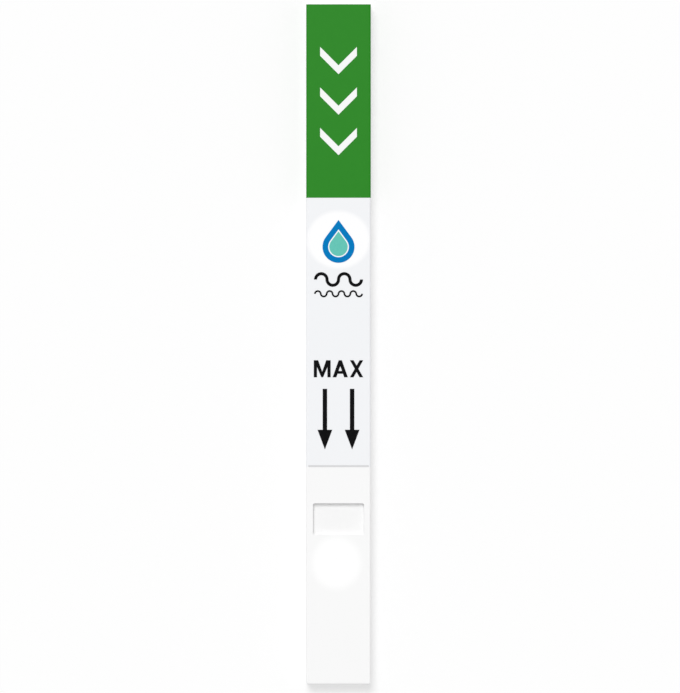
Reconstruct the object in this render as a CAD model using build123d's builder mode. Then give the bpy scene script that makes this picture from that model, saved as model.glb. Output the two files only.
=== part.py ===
from build123d import *
from math import copysign, cos, radians, sin
import os

# Slim dip-in lateral flow test: a two-shell moulded casing that holds a test strip.
# X is the width, +Y points to the handle end and -Y to the dip end, and +Z is the front.
# The stick lies on its back, with the origin under its middle. All sizes are in millimetres.

# Zones along the stick, from the dip end to the handle end
dip_zone_length = 32.0
body_label_length = 39.56
handle_label_length = 28.44

# Casing
casing_width = 9.5
back_shell_height = 1.5
front_shell_height = 1.5
front_wall = 0.8
back_wall = 0.8
side_wall = 0.8
end_wall = 0.8
edge_radius = 0.3
dip_corner_radius = 0.35
cavity_corner_radius = 0.2

# Half-lap at the seam between the shells, and the fine groove that shows along it
lip_thickness = 0.3
lip_height = 0.4
lap_clearance = 0.05
seam_chamfer = 0.12

# Sample window in the front
window_below_label = 5.32
sample_window_width = 7.5
sample_window_length = 4.67
sample_window_corner = 0.3

# Reading window in the back
reading_window_width = 5.0
reading_window_length = 14.0
reading_window_corner = 0.8
reading_window_bevel = 0.4
collar_wall = 0.6
collar_gap = 0.15
tick_length = 0.9
tick_width = 0.3
tick_depth = 0.15
tick_margin = 0.35

# Test strip
strip_side_gap = 0.2
card_above_window = 5.7
handle_hollow_length = 16.2
card_thickness = 0.25
membrane_length = 25.0
membrane_thickness = 0.15
reagent_line_spacing = 5.0
reagent_line_width = 0.8
reagent_line_thickness = 0.02
conjugate_pad_length = 9.0
conjugate_pad_thickness = 0.35
absorbent_pad_thickness = 0.65
pad_lap = 1.5
pad_drape = 0.5

# Sample wick
wick_side_gap = 0.1
wick_below_window = 3.0
wick_card_gap = 0.2
wick_overlap = 4.0

# Ribs, bars and walls inside the shells
card_rib_height = 0.15
card_rib_width = 0.6
card_rib_count = 6
card_rib_margin = 2.0
bar_width = 1.0
rest_bar_count = 2
stop_wall = 0.8
stop_gap = 0.3
wall_top_gap = 0.1
end_rib_width = 0.6
end_rib_count = 2

# Pegs of the front shell in the sockets of the back shell
peg_radius = 0.6
peg_clearance = 0.02
peg_tip_gap = 0.2
socket_wall = 0.6

# Labels folded over both long edges, and the printing on them
label_thickness = 0.08
ink_thickness = 0.03
fill_line_width = 0.28

# Chevrons on the handle
chevron_width = 5.4
chevron_rise = 2.7
chevron_stroke = 1.3
chevron_pitch = 5.95
chevron_count = 3

# Drop emblem and wave lines under the handle label
drop_radius = 2.35
drop_point_angle = 73.0
drop_core_radius = 1.35
drop_core_gap = 0.18
emblem_below_handle = 7.2
wave_span = 7.2
bold_wave_arc_count = 4
bold_wave_height = 0.85
bold_wave_stroke = 0.45
bold_wave_below_handle = 12.0
thin_wave_arc_count = 8
thin_wave_height = 0.4
thin_wave_stroke = 0.25
thin_wave_below_handle = 14.1

# Fill mark: the word MAX and two arrows above the line
letter_height = 2.5
letter_gap = 0.3
word_above_line = 13.05
m_width = 2.47
m_stem = 0.47
m_shelf = 0.65
m_notch_depth = 1.69
m_inner_height = 1.51
m_tip_width = 0.26
a_width = 2.24
a_foot = 0.54
a_crown = 0.46
a_bar_height = 0.52
a_bar_width = 0.4
x_width = 1.95
x_foot = 0.53
arrow_above_line = 2.45
arrow_length = 8.9
arrow_head_length = 2.88
arrow_head_width = 2.16
arrow_shaft_width = 0.65
arrow_spacing = 4.0

# Heights worked out from the sizes above
seam_z = back_shell_height
front_z = back_shell_height + front_shell_height
floor_z = back_wall
ceiling_z = front_z - front_wall
inner_wall_z = ceiling_z - wall_top_gap
card_front_z = ceiling_z - card_rib_height
card_back_z = card_front_z - card_thickness
membrane_back_z = card_back_z - membrane_thickness
wick_tongue_z = card_back_z - conjugate_pad_thickness

# Places along the stick
casing_length = dip_zone_length + body_label_length + handle_label_length
tip_y = -casing_length / 2
handle_end_y = casing_length / 2
label_low_y = tip_y + dip_zone_length
handle_label_low_y = label_low_y + body_label_length
fill_line_y = label_low_y + fill_line_width / 2
window_high_y = label_low_y - window_below_label
window_low_y = window_high_y - sample_window_length
card_low_y = window_high_y + card_above_window
card_high_y = handle_end_y - end_wall - handle_hollow_length
card_length = card_high_y - card_low_y
conjugate_high_y = card_low_y + conjugate_pad_length
membrane_low_y = conjugate_high_y - pad_lap
membrane_high_y = membrane_low_y + membrane_length
membrane_mid_y = (membrane_low_y + membrane_high_y) / 2
absorbent_low_y = membrane_high_y - pad_lap
wick_low_y = window_low_y - wick_below_window
wick_shoulder_y = card_low_y - wick_card_gap
wick_high_y = card_low_y + wick_overlap

# Widths worked out from the sizes above
cavity_width = casing_width - 2 * side_wall
cavity_length = casing_length - 2 * end_wall
strip_width = cavity_width - 2 * strip_side_gap
wick_width = cavity_width - 2 * wick_side_gap
flat_front_width = casing_width - 2 * edge_radius


def hollow_end(low_y, high_y):
    """Rib places and peg places in a hollow end of the casing."""
    bay = (high_y - low_y - end_rib_count * end_rib_width) / (end_rib_count + 1)
    pitch = bay + end_rib_width
    ribs = [low_y + bay + end_rib_width / 2 + i * pitch for i in range(end_rib_count)]
    pegs = [low_y + bay / 2, high_y - bay / 2]
    return ribs, pegs


wick_stop_y = wick_low_y - stop_gap - stop_wall / 2
card_stop_y = card_high_y + stop_gap + stop_wall / 2
foot_ribs, foot_pegs = hollow_end(tip_y + end_wall, wick_stop_y - stop_wall / 2)
handle_ribs, handle_pegs = hollow_end(card_stop_y + stop_wall / 2, handle_end_y - end_wall)
peg_places = [(0, y) for y in foot_pegs + handle_pegs]


def casing_plan():
    """Plan of the casing: square at the handle end, with small round corners at the dip end."""
    with BuildSketch() as plan:
        Rectangle(casing_width, casing_length)
        fillet(plan.vertices().group_by(Axis.Y)[0], dip_corner_radius)
    return plan.sketch


def cavity_plan(margin):
    """Plan of the hollow between the walls, grown by a margin."""
    with BuildSketch() as plan:
        RectangleRounded(
            cavity_width + 2 * margin, cavity_length + 2 * margin, cavity_corner_radius + margin
        )
    return plan.sketch


def front_section(inset):
    """Cross-section of the front shell's outside, drawn smaller by an inset on its three sides."""
    with BuildSketch() as section:
        with Locations((0, seam_z)):
            Rectangle(
                casing_width - 2 * inset,
                front_shell_height - inset,
                align=(Align.CENTER, Align.MIN),
            )
        fillet(section.vertices().group_by(Axis.Y)[-1], edge_radius - inset)
    return section.sketch


def label_skin(top_y, length):
    """Thin sheet over the front and both long edges, from top_y towards the dip end."""
    with BuildPart() as skin:
        with BuildSketch(Plane.XZ.offset(-top_y)):
            add(front_section(0))
            add(front_section(label_thickness), mode=Mode.SUBTRACT)
        extrude(amount=length)
    return skin.part


# Front shell: tray with the sample window, a shallow seat for the labels, card ribs and pegs
with BuildPart() as front_shell:
    with BuildSketch(Plane.XY.offset(seam_z)):
        add(casing_plan())
    extrude(amount=front_shell_height)
    fillet(front_shell.edges().group_by(Axis.Z)[-1].sort_by(Axis.Y)[:-1], edge_radius)
    add(label_skin(handle_end_y, handle_label_length + body_label_length), mode=Mode.SUBTRACT)
    with BuildSketch(Plane.XY.offset(seam_z)):
        add(cavity_plan(0))
    extrude(amount=ceiling_z - seam_z, mode=Mode.SUBTRACT)
    with BuildSketch(Plane.XY.offset(seam_z)):
        add(cavity_plan(lip_thickness + lap_clearance))
    extrude(amount=lip_height + lap_clearance, mode=Mode.SUBTRACT)
    with BuildSketch(Plane.XY.offset(ceiling_z)):
        with Locations((0, (window_low_y + window_high_y) / 2)):
            RectangleRounded(sample_window_width, sample_window_length, sample_window_corner)
    extrude(amount=front_wall, mode=Mode.SUBTRACT)
    rib_run = card_length - 2 * card_rib_margin
    with BuildSketch(Plane.XY.offset(card_front_z)):
        with Locations((0, (card_low_y + card_high_y) / 2)):
            with GridLocations(0, rib_run / (card_rib_count - 1), 1, card_rib_count):
                Rectangle(cavity_width, card_rib_width)
    extrude(amount=card_rib_height)
    with BuildSketch(Plane.XY.offset(floor_z + peg_tip_gap)):
        with Locations(*peg_places):
            Circle(peg_radius)
    extrude(amount=ceiling_z - floor_z - peg_tip_gap)
front_shell.part.label = "front_shell"

# Back shell: tray with the lip, the reading window in its collar, bars, stops, ribs and sockets
with BuildPart() as back_shell:
    with BuildSketch():
        add(casing_plan())
    extrude(amount=back_shell_height)
    fillet(back_shell.edges().group_by(Axis.Z)[0].sort_by(Axis.Y)[:-1], edge_radius)
    chamfer(back_shell.edges().group_by(Axis.Z)[-1], seam_chamfer)
    with BuildSketch(Plane.XY.offset(seam_z)):
        add(cavity_plan(lip_thickness))
    extrude(amount=lip_height)
    with BuildSketch(Plane.XY.offset(floor_z)):
        add(cavity_plan(0))
    extrude(amount=seam_z + lip_height - floor_z, mode=Mode.SUBTRACT)
    # Bars that press the pads on the membrane, and bars that only carry the absorbent pad
    with BuildSketch(Plane.XY.offset(floor_z)):
        with Locations((0, conjugate_high_y - pad_lap / 2)):
            Rectangle(cavity_width, bar_width)
    extrude(amount=membrane_back_z - conjugate_pad_thickness - floor_z)
    with BuildSketch(Plane.XY.offset(floor_z)):
        with Locations((0, absorbent_low_y + pad_lap / 2)):
            Rectangle(cavity_width, bar_width)
    extrude(amount=membrane_back_z - absorbent_pad_thickness - floor_z)
    rest_run = card_high_y - membrane_high_y
    with BuildSketch(Plane.XY.offset(floor_z)):
        with Locations((0, membrane_high_y + rest_run / 2)):
            with GridLocations(0, rest_run / rest_bar_count, 1, rest_bar_count):
                Rectangle(cavity_width, bar_width)
    extrude(amount=card_back_z - absorbent_pad_thickness - floor_z)
    # Walls that stop the wick and the card, and ribs across the hollow ends
    with BuildSketch(Plane.XY.offset(floor_z)):
        with Locations((0, wick_stop_y), (0, card_stop_y)):
            Rectangle(cavity_width, stop_wall)
        with Locations(*[(0, y) for y in foot_ribs + handle_ribs]):
            Rectangle(cavity_width, end_rib_width)
    extrude(amount=inner_wall_z - floor_z)
    # Sockets for the pegs
    with BuildSketch(Plane.XY.offset(floor_z)):
        with Locations(*peg_places):
            Circle(peg_radius + peg_clearance + socket_wall)
            Circle(peg_radius + peg_clearance, mode=Mode.SUBTRACT)
    extrude(amount=inner_wall_z - floor_z)
    # Reading window, its collar up to just under the membrane, and its bevel on the back
    with BuildSketch(Plane.XY.offset(floor_z)):
        with Locations((0, membrane_mid_y)):
            RectangleRounded(
                reading_window_width + 2 * collar_wall,
                reading_window_length + 2 * collar_wall,
                reading_window_corner + collar_wall,
            )
    extrude(amount=membrane_back_z - collar_gap - floor_z)
    with BuildSketch():
        with Locations((0, membrane_mid_y)):
            RectangleRounded(reading_window_width, reading_window_length, reading_window_corner)
    extrude(amount=membrane_back_z, mode=Mode.SUBTRACT)
    chamfer(
        back_shell.faces().sort_by(Axis.Z)[0].inner_wires()[0].edges(), reading_window_bevel
    )
    # Tick marks beside the window, level with the control line and the test line
    tick_x = reading_window_width / 2 + reading_window_bevel + tick_margin + tick_length / 2
    with BuildSketch():
        with Locations((0, membrane_mid_y)):
            with GridLocations(2 * tick_x, reagent_line_spacing, 2, 2):
                Rectangle(tick_length, tick_width)
    extrude(amount=tick_depth, mode=Mode.SUBTRACT)
back_shell.part.label = "back_shell"

# Backing card: stiff plastic strip that carries the membrane and both pads on its back face
with BuildPart() as backing_card:
    with BuildSketch(Plane.XY.offset(card_back_z)):
        with Locations((0, (card_low_y + card_high_y) / 2)):
            Rectangle(strip_width, card_length)
    extrude(amount=card_thickness)
backing_card.part.label = "backing_card"

# Membrane: thin porous sheet on the card, seen through the reading window
with BuildPart() as membrane:
    with BuildSketch(Plane.XY.offset(membrane_back_z)):
        with Locations((0, membrane_mid_y)):
            Rectangle(strip_width, membrane_length)
    extrude(amount=membrane_thickness)
membrane.part.label = "membrane"


def reagent_line(y):
    """Band of dried reagent across the back face of the membrane."""
    with BuildPart() as line:
        with BuildSketch(Plane.XY.offset(membrane_back_z - reagent_line_thickness)):
            with Locations((0, y)):
                Rectangle(strip_width, reagent_line_width)
        extrude(amount=reagent_line_thickness)
    return line.part


# Test line, which the sample reaches first, and control line beyond it
with BuildPart() as test_line:
    add(reagent_line(membrane_mid_y - reagent_line_spacing / 2))
test_line.part.label = "test_line"

with BuildPart() as control_line:
    add(reagent_line(membrane_mid_y + reagent_line_spacing / 2))
control_line.part.label = "control_line"


def lapped_pad(card_edge_y, membrane_edge_y, pad_edge_y, thickness):
    """Pad stuck on the card from card_edge_y, and lapped over the membrane to pad_edge_y."""
    bend_y = membrane_edge_y + copysign(pad_drape, card_edge_y - membrane_edge_y)
    with BuildPart() as pad:
        with BuildSketch(Plane.YZ):
            with BuildLine():
                Polyline(
                    (card_edge_y, card_back_z),
                    (membrane_edge_y, card_back_z),
                    (membrane_edge_y, membrane_back_z),
                    (pad_edge_y, membrane_back_z),
                    (pad_edge_y, membrane_back_z - thickness),
                    (membrane_edge_y, membrane_back_z - thickness),
                    (bend_y, card_back_z - thickness),
                    (card_edge_y, card_back_z - thickness),
                    close=True,
                )
            make_face()
        extrude(amount=strip_width / 2, both=True)
    return pad.part


# Conjugate pad: glass-fibre pad between the wick and the membrane
with BuildPart() as conjugate_pad:
    add(lapped_pad(card_low_y, membrane_low_y, conjugate_high_y, conjugate_pad_thickness))
conjugate_pad.part.label = "conjugate_pad"

# Absorbent pad: thick blotting pad at the far end of the membrane
with BuildPart() as absorbent_pad:
    add(lapped_pad(card_high_y, membrane_high_y, absorbent_low_y, absorbent_pad_thickness))
absorbent_pad.part.label = "absorbent_pad"

# Sample wick: felt block behind the sample window, with a tongue under the conjugate pad
with BuildPart() as sample_wick:
    with BuildSketch(Plane.YZ):
        with BuildLine():
            Polyline(
                (wick_low_y, floor_z),
                (wick_high_y, floor_z),
                (wick_high_y, wick_tongue_z),
                (wick_shoulder_y, wick_tongue_z),
                (wick_shoulder_y, ceiling_z),
                (wick_low_y, ceiling_z),
                close=True,
            )
        make_face()
    extrude(amount=wick_width / 2, both=True)
sample_wick.part.label = "sample_wick"

# Handle label: coloured film over the front and both edges of the handle
with BuildPart() as handle_label:
    add(label_skin(handle_end_y, handle_label_length))
handle_label.part.label = "handle_label"

# Body label: pale film between the handle label and the fill line
with BuildPart() as body_label:
    add(label_skin(handle_label_low_y, body_label_length))
body_label.part.label = "body_label"

# Chevrons in the middle of the handle label, pointing to the dip end
with BuildPart() as handle_chevrons:
    with BuildSketch(Plane((0, handle_end_y - handle_label_length / 2, front_z))):
        with GridLocations(0, chevron_pitch, 1, chevron_count):
            low = -(chevron_rise + chevron_stroke) / 2
            Polygon(
                (0, low),
                (chevron_width / 2, low + chevron_rise),
                (chevron_width / 2, low + chevron_rise + chevron_stroke),
                (0, low + chevron_stroke),
                (-chevron_width / 2, low + chevron_rise + chevron_stroke),
                (-chevron_width / 2, low + chevron_rise),
                align=None,
            )
    extrude(amount=ink_thickness)
handle_chevrons.part.label = "handle_chevrons"


def teardrop(radius):
    """Round drop about the origin, with a point above it."""
    half_angle = radians(drop_point_angle) / 2
    point = (0, radius / sin(half_angle))
    side = (radius * cos(half_angle), radius * sin(half_angle))
    with BuildSketch() as drop:
        with BuildLine():
            Polyline((-side[0], side[1]), point, side)
            ThreePointArc(side, (0, -radius), (-side[0], side[1]))
        make_face()
    return drop.sketch


emblem_plane = Plane((0, handle_label_low_y - emblem_below_handle, front_z))

# Drop emblem: a ring in the shape of a drop, and its core in a second colour
with BuildPart() as drop_ring:
    with BuildSketch(emblem_plane):
        add(teardrop(drop_radius))
        add(teardrop(drop_core_radius + drop_core_gap), mode=Mode.SUBTRACT)
    extrude(amount=ink_thickness)
drop_ring.part.label = "drop_ring"

with BuildPart() as drop_core:
    with BuildSketch(emblem_plane):
        add(teardrop(drop_core_radius))
    extrude(amount=ink_thickness)
drop_core.part.label = "drop_core"


def wave_line(below_handle, arc_count, height, stroke):
    """Printed wave line of equal arcs, up and down in turn, centred across the label."""
    arc_span = (wave_span - stroke) / arc_count
    start = -(wave_span - stroke) / 2
    with BuildPart() as wave:
        with BuildSketch(Plane((0, handle_label_low_y - below_handle, front_z))):
            with BuildLine():
                for i in range(arc_count):
                    side = height if i % 2 == 0 else -height
                    ThreePointArc(
                        (start + i * arc_span, 0),
                        (start + (i + 1 / 2) * arc_span, side),
                        (start + (i + 1) * arc_span, 0),
                    )
            trace(line_width=stroke)
        extrude(amount=ink_thickness)
    return wave.part


# Wave lines: a bold one and a thin one under the emblem
with BuildPart() as bold_wave:
    add(wave_line(bold_wave_below_handle, bold_wave_arc_count, bold_wave_height, bold_wave_stroke))
bold_wave.part.label = "bold_wave"

with BuildPart() as thin_wave:
    add(wave_line(thin_wave_below_handle, thin_wave_arc_count, thin_wave_height, thin_wave_stroke))
thin_wave.part.label = "thin_wave"


def letter_m():
    """Letter M about its own middle line, standing on the base line."""
    with BuildSketch() as letter:
        with BuildLine():
            Polyline(
                (0, letter_height - m_notch_depth),
                (m_width / 2 - m_shelf, letter_height),
                (m_width / 2, letter_height),
                (m_width / 2, 0),
                (m_width / 2 - m_stem, 0),
                (m_width / 2 - m_stem, m_inner_height),
                (m_tip_width / 2, 0),
                (0, 0),
                close=True,
            )
        make_face()
        mirror(about=Plane.YZ)
    return letter.sketch


def letter_a():
    """Letter A about its own middle line, standing on the base line."""
    lean = (a_width - a_crown) / 2 / letter_height
    bar_top = a_bar_height + a_bar_width

    def inner_edge(height):
        return a_width / 2 - a_foot - lean * height

    with BuildSketch() as letter:
        with BuildLine():
            Polyline(
                (0, a_bar_height),
                (inner_edge(a_bar_height), a_bar_height),
                (inner_edge(0), 0),
                (a_width / 2, 0),
                (a_crown / 2, letter_height),
                (0, letter_height),
                (0, inner_edge(0) / lean),
                (inner_edge(bar_top), bar_top),
                (0, bar_top),
                close=True,
            )
        make_face()
        mirror(about=Plane.YZ)
    return letter.sketch


def letter_x():
    """Letter X about its own middle line, standing on the base line."""
    with BuildSketch() as letter:
        with BuildLine():
            Polyline(
                (-x_width / 2, 0),
                (-x_width / 2 + x_foot, 0),
                (x_width / 2, letter_height),
                (x_width / 2 - x_foot, letter_height),
                close=True,
            )
        make_face()
        mirror(about=Plane.YZ)
    return letter.sketch


# Word of the fill mark
word_width = m_width + a_width + x_width + 2 * letter_gap
m_x = (m_width - word_width) / 2
a_x = m_x + m_width / 2 + letter_gap + a_width / 2
x_x = (word_width - x_width) / 2
with BuildPart() as max_word:
    with BuildSketch(Plane((0, fill_line_y + word_above_line, front_z))):
        with Locations((m_x, 0)):
            add(letter_m())
        with Locations((a_x, 0)):
            add(letter_a())
        with Locations((x_x, 0)):
            add(letter_x())
    extrude(amount=ink_thickness)
max_word.part.label = "max_word"


def down_arrow(x):
    """Arrow that points to the fill line."""
    with BuildPart() as arrow:
        with BuildSketch(Plane((x, fill_line_y + arrow_above_line, front_z))):
            with BuildLine():
                Polyline(
                    (0, 0),
                    (arrow_head_width / 2, arrow_head_length),
                    (arrow_shaft_width / 2, arrow_head_length),
                    (arrow_shaft_width / 2, arrow_length),
                    (0, arrow_length),
                    close=True,
                )
            make_face()
            mirror(about=Plane.YZ)
        extrude(amount=ink_thickness)
    return arrow.part


with BuildPart() as left_arrow:
    add(down_arrow(-arrow_spacing / 2))
left_arrow.part.label = "left_arrow"

with BuildPart() as right_arrow:
    add(down_arrow(arrow_spacing / 2))
right_arrow.part.label = "right_arrow"

# Fill line along the lower edge of the body label
with BuildPart() as fill_line:
    with BuildSketch(Plane.XY.offset(front_z)):
        with Locations((0, fill_line_y)):
            Rectangle(flat_front_width, fill_line_width)
    extrude(amount=ink_thickness)
fill_line.part.label = "fill_line"

os.makedirs("parts", exist_ok=True)
pieces = [
    front_shell,
    back_shell,
    backing_card,
    membrane,
    test_line,
    control_line,
    conjugate_pad,
    absorbent_pad,
    sample_wick,
    handle_label,
    body_label,
    handle_chevrons,
    drop_ring,
    drop_core,
    bold_wave,
    thin_wave,
    max_word,
    left_arrow,
    right_arrow,
    fill_line,
]
for piece in pieces:
    export_step(piece.part, f"parts/{piece.part.label}.step")
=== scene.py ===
import math

import bmesh
import bpy
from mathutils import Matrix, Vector, noise


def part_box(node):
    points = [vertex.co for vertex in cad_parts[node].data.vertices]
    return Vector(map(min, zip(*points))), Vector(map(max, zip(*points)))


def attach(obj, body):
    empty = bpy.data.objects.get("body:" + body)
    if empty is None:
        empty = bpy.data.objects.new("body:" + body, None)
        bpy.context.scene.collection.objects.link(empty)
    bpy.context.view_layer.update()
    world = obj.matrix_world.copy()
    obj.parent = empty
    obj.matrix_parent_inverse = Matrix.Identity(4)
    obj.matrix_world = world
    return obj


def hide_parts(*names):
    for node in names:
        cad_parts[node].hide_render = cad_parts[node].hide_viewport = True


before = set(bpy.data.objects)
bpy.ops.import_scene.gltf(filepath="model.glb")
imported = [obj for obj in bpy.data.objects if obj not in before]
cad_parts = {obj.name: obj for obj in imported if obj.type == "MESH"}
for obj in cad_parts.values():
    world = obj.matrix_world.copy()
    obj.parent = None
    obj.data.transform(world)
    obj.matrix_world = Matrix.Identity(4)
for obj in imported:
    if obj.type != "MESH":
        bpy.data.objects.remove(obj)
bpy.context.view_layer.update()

MM = 0.001

# Camera: it looks straight down on the stick, with the handle end at the top of the picture.
# A long lens keeps the sides of the casing out of sight, as in a catalogue picture.
PICTURE_HEIGHT = 693
PIXEL_SIZE = 0.14695 * MM
LENS = 180
SENSOR = 36
AIM_X = 0.22 * MM
AIM_Y = -0.29 * MM
front_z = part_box("body_label")[1][2]
camera = bpy.data.objects.new("camera", bpy.data.cameras.new("camera"))
camera.data.lens = LENS
camera.data.sensor_width = SENSOR
camera.location = (AIM_X, AIM_Y, front_z + PICTURE_HEIGHT * PIXEL_SIZE * LENS / SENSOR)
bpy.context.scene.collection.objects.link(camera)
bpy.context.scene.camera = camera
bpy.context.scene.view_settings.view_transform = "Standard"


# Casing: two shallow trays of white polystyrene, injection moulded and pressed together at
# their pegs. The mould was finely eroded, so the skin is satin, with a faint even grain. A
# round patch below the sample window is painted whiter than the rest: a painted glare on the
# front.
class Field:
    """One output of a material's nodes. Arithmetic on it adds Math nodes to that material."""

    def __init__(self, tree, socket=None):
        self.tree = tree
        self.socket = socket

    def node(self, kind, settings, sockets, output=0):
        """Adds a node: first its settings, then the values or links of its sockets."""
        made = self.tree.nodes.new(kind)
        for name, setting in settings.items():
            setattr(made, name, setting)
        for name, value in sockets.items():
            if isinstance(value, Field):
                self.tree.links.new(value.socket, made.inputs[name])
            else:
                made.inputs[name].default_value = value
        if made.outputs:
            return Field(self.tree, made.outputs[output])

    def twin(self, name):
        """Another output of the same node."""
        return Field(self.tree, self.socket.node.outputs[name])

    def math(self, operation, first, second):
        return self.node("ShaderNodeMath", {"operation": operation}, {0: first, 1: second})

    def vector_math(self, operation, second):
        return self.node("ShaderNodeVectorMath", {"operation": operation}, {0: self, 1: second})

    def __add__(self, other):
        return self.math("ADD", self, other)

    def __radd__(self, other):
        return self.math("ADD", other, self)

    def __mul__(self, other):
        return self.math("MULTIPLY", self, other)

    def __rmul__(self, other):
        return self.math("MULTIPLY", other, self)

    def larger(self, other):
        return self.math("MAXIMUM", self, other)


def start_material(name):
    """New material, and the place of each point of its surface in millimetres."""
    material = bpy.data.materials.new(name)
    material.use_nodes = True
    material.node_tree.nodes.clear()
    metres = Field(material.node_tree).node("ShaderNodeTexCoord", {}, {}, "Object")
    return material, metres.vector_math("MULTIPLY", (1 / MM, 1 / MM, 1 / MM))


def grain(place, size, detail=3.0, distortion=0.0):
    """Cloudy pattern from 0 to 1, with blobs of about the given size in millimetres."""
    sockets = {"Vector": place, "Scale": 1 / size, "Detail": detail, "Distortion": distortion}
    return place.node("ShaderNodeTexNoise", {}, sockets)


def distance_from(place, x, y, radius_x, radius_y):
    """Distance from a point of the front, which is 1 on the ellipse with the given radii."""
    away = place.vector_math("SUBTRACT", (x, y, 0))
    flat = away.vector_math("MULTIPLY", (1 / radius_x, 1 / radius_y, 0))
    return flat.node("ShaderNodeVectorMath", {"operation": "LENGTH"}, {0: flat}, "Value")


def rise(value, low, high):
    """Smooth step from 0 at low to 1 at high."""
    sockets = {"Value": value, "From Min": low, "From Max": high}
    return value.node("ShaderNodeMapRange", {"interpolation_type": "SMOOTHSTEP"}, sockets)


def mixed(mask, first, second):
    """First colour where the mask is 0, second where it is 1."""
    return mask.node("ShaderNodeMix", {"data_type": "RGBA"}, {0: mask, 6: first, 7: second}, 2)


def end_material(place, colour, roughness, relief, relief_height, specular):
    """Joins colour, gloss and relief in a shader. The relief's height is in millimetres."""
    bump = {"Distance": relief_height * MM, "Height": relief}
    sockets = {
        "Base Color": colour,
        "Roughness": roughness,
        "Specular IOR Level": specular,
        "Normal": place.node("ShaderNodeBump", {}, bump),
    }
    shader = place.node("ShaderNodeBsdfPrincipled", {}, sockets)
    shader.node("ShaderNodeOutputMaterial", {}, {"Surface": shader})


def coat(node, material):
    """Gives a piece of the frame its finish."""
    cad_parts[node].material_slots[0].material = material


CASING_WHITE = (0.94, 0.94, 0.94, 1)
CASING_SHADE = (0.924, 0.924, 0.924, 1)
CASING_CLOUD = 9.0
CASING_ROUGHNESS = 0.4
CASING_ROUGHNESS_SPREAD = 0.1
CASING_GLOSS_CLOUD = 0.6
SKIN_GRAIN = 0.09
SKIN_WAVE = 2.2
SKIN_WAVE_SHARE = 2.0
PAINTED_GLARE_WHITE = (0.99, 0.99, 0.99, 1)
PATCH_X = -0.3
PATCH_Y = -32.1
PATCH_RADIUS_X = 3.55
PATCH_RADIUS_Y = 3.8
PATCH_EDGE = 0.2
PATCH_LOW_Z = 2.6
PATCH_HIGH_Z = 2.9
casing, place = start_material("casing_white")
# Painted glare: a soft round spot on the front face below the sample window is painted whiter.
patch = distance_from(place, PATCH_X, PATCH_Y, PATCH_RADIUS_X, PATCH_RADIUS_Y)
height = place.node("ShaderNodeSeparateXYZ", {}, {0: place}, "Z")
on_front = rise(height, PATCH_LOW_Z, PATCH_HIGH_Z)
in_painted_glare = rise(patch, 1 + PATCH_EDGE, 1 - PATCH_EDGE) * on_front
white = mixed(grain(place, CASING_CLOUD), CASING_SHADE, CASING_WHITE)
skin = grain(place, SKIN_GRAIN, detail=2.0) + SKIN_WAVE_SHARE * grain(place, SKIN_WAVE, detail=1.0)
end_material(
    place,
    colour=mixed(in_painted_glare, white, PAINTED_GLARE_WHITE),
    roughness=CASING_ROUGHNESS + CASING_ROUGHNESS_SPREAD * grain(place, CASING_GLOSS_CLOUD),
    relief=skin,
    relief_height=0.004,
    specular=0.3,
)
coat("front_shell", casing)
coat("back_shell", casing)


# Handle label: printed green film, stuck into a shallow seat and folded down over both long
# edges. A matt laminate over the print gives it a soft sheen and a faint unevenness.
GREEN = (0.0145, 0.225, 0.0065, 1)
GREEN_DEEP = (0.012, 0.213, 0.0055, 1)
GREEN_CLOUD = 1.4
FILM_ROUGHNESS = 0.42
FILM_ROUGHNESS_SPREAD = 0.08
FILM_GLOSS_CLOUD = 0.5
FILM_WAVE = 0.25
FILM_GRAIN = 0.05
FILM_GRAIN_SHARE = 0.35


def end_film(place, colour, specular):
    """Closes the material of a label with the skin of its laminate."""
    laminate = grain(place, FILM_WAVE) + FILM_GRAIN_SHARE * grain(place, FILM_GRAIN, detail=1.0)
    end_material(
        place,
        colour=colour,
        roughness=FILM_ROUGHNESS + FILM_ROUGHNESS_SPREAD * grain(place, FILM_GLOSS_CLOUD),
        relief=laminate,
        relief_height=0.003,
        specular=specular,
    )


green_film, place = start_material("label_green")
end_film(place, mixed(grain(place, GREEN_CLOUD), GREEN_DEEP, GREEN), specular=0.2)
coat("handle_label", green_film)


# Body label: the same film in a pale bluish white, from the handle label to the fill line.
# Round the drop the tint is left out, so that an oval of plain white shows, with a soft edge.
PALE = (0.886, 0.896, 0.914, 1)
PALE_SHADE = (0.878, 0.888, 0.907, 1)
PALE_CLOUD = 5.0
OVAL_WHITE = (0.98, 0.98, 0.985, 1)
OVAL_RADIUS_X = 4.6
OVAL_RADIUS_Y = 4.2
OVAL_EDGE = 0.1
OVAL_RAISE = 0.25
drop_low, drop_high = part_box("drop_ring")
oval_y = (drop_low[1] + drop_high[1]) / 2 / MM + OVAL_RAISE
pale_film, place = start_material("label_pale")
oval = distance_from(place, 0, oval_y, OVAL_RADIUS_X, OVAL_RADIUS_Y)
in_oval = rise(oval, 1 + OVAL_EDGE, 1 - OVAL_EDGE)
tinted = mixed(grain(place, PALE_CLOUD), PALE_SHADE, PALE)
end_film(place, mixed(in_oval, tinted, OVAL_WHITE), specular=0.3)
coat("body_label", pale_film)


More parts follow.
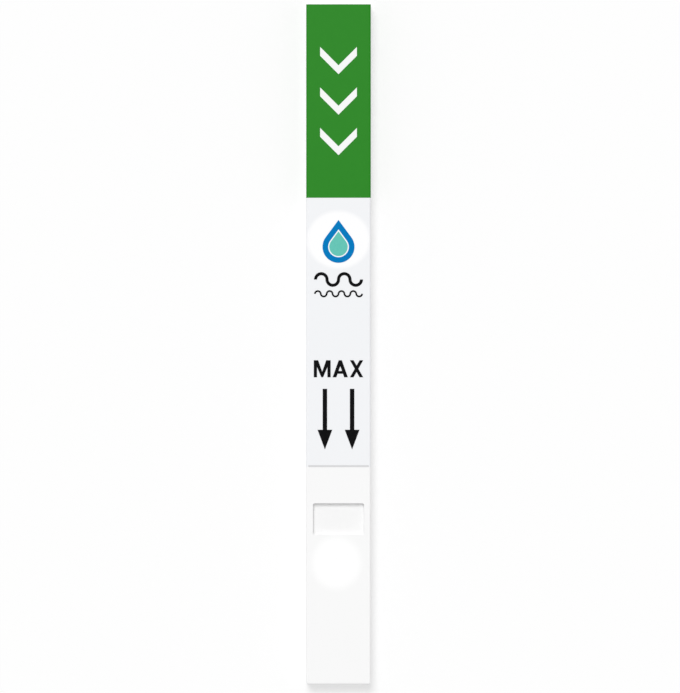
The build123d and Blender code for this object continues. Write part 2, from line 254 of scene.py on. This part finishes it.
# Printing: chevrons, drop, wave lines, word, arrows and fill line, screen printed on the two
# labels. Each is one pass of opaque matt ink, a little uneven in its thickness.
INK_WHITE = (0.945, 0.945, 0.945, 1)
INK_WHITE_THIN = (0.925, 0.935, 0.925, 1)
INK_BLUE = (0.0, 0.185, 0.50, 1)
INK_BLUE_THIN = (0.0, 0.20, 0.52, 1)
INK_TEAL = (0.125, 0.545, 0.455, 1)
INK_TEAL_THIN = (0.14, 0.56, 0.47, 1)
INK_BLACK = (0.002, 0.002, 0.0025, 1)
INK_BLACK_THIN = (0.004, 0.004, 0.0045, 1)
INK_GREY = (0.68, 0.68, 0.69, 1)
INK_GREY_THIN = (0.70, 0.70, 0.71, 1)
INK_GRAIN = 0.35
INK_THIN_AT = 0.35
INK_FULL_AT = 0.7
INK_ROUGHNESS = 0.62
INK_ROUGHNESS_SPREAD = 0.12


def ink(name, colour, thin_colour, nodes):
    """One colour of ink, on each node that is printed with it."""
    material, place = start_material(name)
    film = grain(place, INK_GRAIN, detail=4.0)
    end_material(
        place,
        colour=mixed(rise(film, INK_THIN_AT, INK_FULL_AT), thin_colour, colour),
        roughness=INK_ROUGHNESS + INK_ROUGHNESS_SPREAD * film,
        relief=film,
        relief_height=0.004,
        specular=0.05,
    )
    for node in nodes:
        coat(node, material)


black_nodes = ("bold_wave", "thin_wave", "max_word", "left_arrow", "right_arrow")
ink("ink_white", INK_WHITE, INK_WHITE_THIN, ("handle_chevrons",))
ink("ink_blue", INK_BLUE, INK_BLUE_THIN, ("drop_ring",))
ink("ink_teal", INK_TEAL, INK_TEAL_THIN, ("drop_core",))
ink("ink_black", INK_BLACK, INK_BLACK_THIN, black_nodes)
ink("ink_grey", INK_GREY, INK_GREY_THIN, ("fill_line",))


# Sample wick: thick white needled felt, die cut, with a thinner tongue under the test strip.
# It lies loose in the casing, and swells a little into the sample window.
FELT_WHITE = (0.945, 0.945, 0.945, 1)
# The next colour is painted shade, for the gaps between the hairs.
FELT_GAP_SHADE = (0.93, 0.93, 0.93, 1)
FELT_HAIR = 0.05
WICK_ROUND = 0.18
WICK_SLICE = 0.22
WICK_FUZZ = 0.03
SWELL_HEIGHT = 0.07
SWELL_HALF_WIDTH = 3.7
SWELL_HALF_LENGTH = 2.3
SWELL_ABOVE_END = 5.33
MERGE_DISTANCE = 0.001
FLAT_ANGLE = 0.02
FUZZ_SIZE = 0.45
FUZZ_FALL = 1.0
FUZZ_STEP = 2.0
FUZZ_LAYERS = 3
HAIR_ASPECT = 7
HAIR_BEND = 1.6
HAIR_HEADINGS = (0.3, 1.1, 1.9, 2.8)
HAIR_DEEP_AT = 0.5
HAIR_TOP_AT = 0.75
FIBRE_ROUGHNESS = 0.85
FIBRE_ROUGHNESS_SPREAD = 0.1


def cut_piece(name, node, cut_round, slice_size):
    """Copy of a pad of the frame, with soft cut edges and faces fine enough to roughen."""
    shape = bmesh.new()
    shape.from_mesh(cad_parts[node].data)
    bmesh.ops.remove_doubles(shape, verts=shape.verts, dist=MERGE_DISTANCE * MM)
    bmesh.ops.dissolve_limit(
        shape, angle_limit=FLAT_ANGLE, verts=shape.verts, edges=shape.edges
    )
    bmesh.ops.bevel(
        shape,
        geom=shape.edges[:],
        offset=cut_round * MM,
        segments=3,
        profile=0.5,
        affect="EDGES",
        material=-1,
    )
    low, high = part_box(node)
    for axis, direction in enumerate((Vector((1, 0, 0)), Vector((0, 1, 0)))):
        count = math.ceil((high[axis] - low[axis]) / (slice_size * MM))
        for step in range(1, count):
            cut = direction * (low[axis] + (high[axis] - low[axis]) * step / count)
            parts = shape.verts[:] + shape.edges[:] + shape.faces[:]
            bmesh.ops.bisect_plane(shape, geom=parts, plane_co=cut, plane_no=direction)
    for face in shape.faces:
        face.smooth = True
    mesh = bpy.data.meshes.new(name)
    shape.to_mesh(mesh)
    shape.free()
    piece = bpy.data.objects.new(name, mesh)
    bpy.context.scene.collection.objects.link(piece)
    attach(piece, "root")
    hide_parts(node)
    return piece


def roughen(piece, fuzz):
    """Sinks the faces by an uneven depth, from nothing to fuzz millimetres."""
    normals = [vertex.normal.copy() for vertex in piece.data.vertices]
    for vertex, normal in zip(piece.data.vertices, normals):
        place = vertex.co / (FUZZ_SIZE * MM)
        cloud = (1 + noise.fractal(place, FUZZ_FALL, FUZZ_STEP, FUZZ_LAYERS)) / 2
        vertex.co -= normal * fuzz * MM * min(max(cloud, 0), 1)


def hairs(place, heading, width):
    """Bent streaks of the given width in millimetres, which run one way."""
    turn = {"Vector": place, "Angle": heading}
    turned = place.node("ShaderNodeVectorRotate", {"rotation_type": "Z_AXIS"}, turn)
    drawn_out = turned.vector_math("MULTIPLY", (1 / HAIR_ASPECT, 1, 1))
    return grain(drawn_out, width, detail=1.0, distortion=HAIR_BEND)


def fibre_material(name, colour, shade, hair_width):
    """Short matted fibres that cross one another, with painted shade in the gaps between them."""
    material, place = start_material(name)
    mat = hairs(place, HAIR_HEADINGS[0], hair_width)
    for heading in HAIR_HEADINGS[1:]:
        mat = mat.larger(hairs(place, heading, hair_width))
    end_material(
        place,
        # The shade colour goes where the hairs lie deepest: painted shade between the fibres.
        colour=mixed(rise(mat, HAIR_DEEP_AT, HAIR_TOP_AT), shade, colour),
        roughness=FIBRE_ROUGHNESS + FIBRE_ROUGHNESS_SPREAD * mat,
        relief=mat,
        relief_height=0.03,
        specular=0.15,
    )
    return material


wick = cut_piece("felt_wick", "sample_wick", WICK_ROUND, WICK_SLICE)
wick_low, wick_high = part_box("sample_wick")
swell_y = wick_low[1] + SWELL_ABOVE_END * MM
for vertex in wick.data.vertices:
    if vertex.co.z > wick_high[2] - WICK_ROUND * MM / 2:
        across = max(0, 1 - (vertex.co.x / (SWELL_HALF_WIDTH * MM)) ** 2)
        along = max(0, 1 - ((vertex.co.y - swell_y) / (SWELL_HALF_LENGTH * MM)) ** 2)
        vertex.co.z += SWELL_HEIGHT * MM * across * along
roughen(wick, WICK_FUZZ)
wick.data.materials.append(fibre_material("wick_felt", FELT_WHITE, FELT_GAP_SHADE, FELT_HAIR))


# Conjugate pad: thin glass-fibre sheet with the dried coloured reagent in it. It lies between
# the wick's tongue and the card, laps onto the membrane, and is stuck to the card.
GLASS_PINK = (0.85, 0.72, 0.68, 1)
# The next colour is painted shade, for the gaps between the fibres.
GLASS_GAP_SHADE = (0.80, 0.62, 0.58, 1)
GLASS_HAIR = 0.03
GLASS_FUZZ = 0.02
PAD_ROUND = 0.09
PAD_SLICE = 0.4
glass_pad = cut_piece("glass_fibre_pad", "conjugate_pad", PAD_ROUND, PAD_SLICE)
roughen(glass_pad, GLASS_FUZZ)
glass_pad.data.materials.append(
    fibre_material("conjugate_fibre", GLASS_PINK, GLASS_GAP_SHADE, GLASS_HAIR)
)


# Absorbent pad: thick blotting paper that draws the liquid along the strip. It laps onto the
# membrane's upper end, and is stuck to the card behind it.
BLOTTING_WHITE = (0.90, 0.90, 0.88, 1)
# The next colour is painted shade, for the gaps between the fibres.
BLOTTING_GAP_SHADE = (0.86, 0.86, 0.84, 1)
BLOTTING_HAIR = 0.06
BLOTTING_FUZZ = 0.03
blotting_pad = cut_piece("blotting_pad", "absorbent_pad", PAD_ROUND, PAD_SLICE)
roughen(blotting_pad, BLOTTING_FUZZ)
blotting_pad.data.materials.append(
    fibre_material("blotting_fibre", BLOTTING_WHITE, BLOTTING_GAP_SHADE, BLOTTING_HAIR)
)


# Backing card and membrane: a stiff white plastic card, and the porous white sheet that is
# cast on it. The card is smooth, and the membrane is dull, like unglazed paper.
CARD_WHITE = (0.88, 0.88, 0.87, 1)
CARD_SHADE = (0.87, 0.87, 0.86, 1)
CARD_GRAIN = 0.4
CARD_GRAIN_DEPTH = 0.002
CARD_ROUGHNESS = 0.45
MEMBRANE_WHITE = (0.92, 0.92, 0.91, 1)
MEMBRANE_SHADE = (0.905, 0.905, 0.895, 1)
MEMBRANE_PORE = 0.05
MEMBRANE_PORE_DEPTH = 0.006
MEMBRANE_ROUGHNESS = 0.8
SHEET_CLOUD = 3.0
SHEET_ROUGHNESS_SPREAD = 0.08


def sheet(name, node, colour, shade, pore, pore_depth, roughness):
    """Finish of a sheet with pores of about the given size and depth in millimetres."""
    material, place = start_material(name)
    pores = grain(place, pore)
    end_material(
        place,
        colour=mixed(grain(place, SHEET_CLOUD), shade, colour),
        roughness=roughness + SHEET_ROUGHNESS_SPREAD * pores,
        relief=pores,
        relief_height=pore_depth,
        specular=0.2,
    )
    coat(node, material)


sheet(
    "card_plastic",
    "backing_card",
    CARD_WHITE,
    CARD_SHADE,
    CARD_GRAIN,
    CARD_GRAIN_DEPTH,
    CARD_ROUGHNESS,
)
sheet(
    "membrane_white",
    "membrane",
    MEMBRANE_WHITE,
    MEMBRANE_SHADE,
    MEMBRANE_PORE,
    MEMBRANE_PORE_DEPTH,
    MEMBRANE_ROUGHNESS,
)


# Reagent lines: two bands that were striped across the membrane and dried in. Before use the
# test line is nearly unseen, and the control line has a faint blue tint.
CLEAR_LINE = (0.90, 0.90, 0.89, 1)
CLEAR_LINE_SHADE = (0.89, 0.89, 0.88, 1)
TINTED_LINE = (0.80, 0.85, 0.92, 1)
TINTED_LINE_SHADE = (0.78, 0.83, 0.91, 1)
LINE_ROUGHNESS = 0.7
for name, node, colour, shade in (
    ("reagent_clear", "test_line", CLEAR_LINE, CLEAR_LINE_SHADE),
    ("reagent_tint", "control_line", TINTED_LINE, TINTED_LINE_SHADE),
):
    sheet(name, node, colour, shade, MEMBRANE_PORE, MEMBRANE_PORE_DEPTH, LINE_ROUGHNESS)


# Table: a plain white board that the stick lies on. Seen directly it is lighter than the light
# that it throws back on the stick, and it keeps the stick's shadow.
TABLE_SIZE = 3.0
TABLE_SEEN = (0.98, 0.98, 0.98, 1)
TABLE_GREY = (0.9, 0.9, 0.9, 1)
TABLE_GLOW = 0.38


def seen_directly(field):
    """1 for rays from the lens, and for those that a glossy or a clear surface passes on."""
    camera_ray = field.node("ShaderNodeLightPath", {}, {}, "Is Camera Ray")
    passed_on = camera_ray.twin("Is Glossy Ray").larger(camera_ray.twin("Is Transmission Ray"))
    return camera_ray.larger(passed_on)


shape = bmesh.new()
bmesh.ops.create_grid(shape, x_segments=1, y_segments=1, size=TABLE_SIZE / 2)
table = bpy.data.objects.new("table", bpy.data.meshes.new("table"))
shape.to_mesh(table.data)
shape.free()
bpy.context.scene.collection.objects.link(table)
table_white, place = start_material("table_white")
seen = seen_directly(place)
matt = place.node("ShaderNodeBsdfDiffuse", {}, {"Color": mixed(seen, TABLE_GREY, TABLE_SEEN)})
glow = place.node("ShaderNodeEmission", {}, {"Strength": 1.0})
board = place.node("ShaderNodeMixShader", {}, {0: TABLE_GLOW * seen, 1: matt, 2: glow})
board.node("ShaderNodeOutputMaterial", {}, {"Surface": board})
table.data.materials.append(table_white)


# Light: a soft even sky, which is plain white where it is seen directly, and one broad lamp
# above the upper left, which draws the shadows in the sample window and beside the stick.
SKY = 0.6
SKY_WHITE = (1, 1, 1, 1)
LAMP = 1.47
LAMP_ANGLE = math.radians(28)
LAMP_DIRECTION = Vector((0.17, -0.55, -1))
world = bpy.data.worlds.new("sky")
bpy.context.scene.world = world
world.use_nodes = True
world.node_tree.nodes.clear()
sky = Field(world.node_tree)
strength = SKY + (1 - SKY) * seen_directly(sky)
backdrop = sky.node("ShaderNodeBackground", {}, {"Color": SKY_WHITE, "Strength": strength})
backdrop.node("ShaderNodeOutputWorld", {}, {"Surface": backdrop})
lamp = bpy.data.objects.new("lamp", bpy.data.lights.new("lamp", "SUN"))
lamp.data.energy = LAMP
lamp.data.angle = LAMP_ANGLE
lamp.rotation_euler = LAMP_DIRECTION.to_track_quat("-Z", "Y").to_euler()
bpy.context.scene.collection.objects.link(lamp)
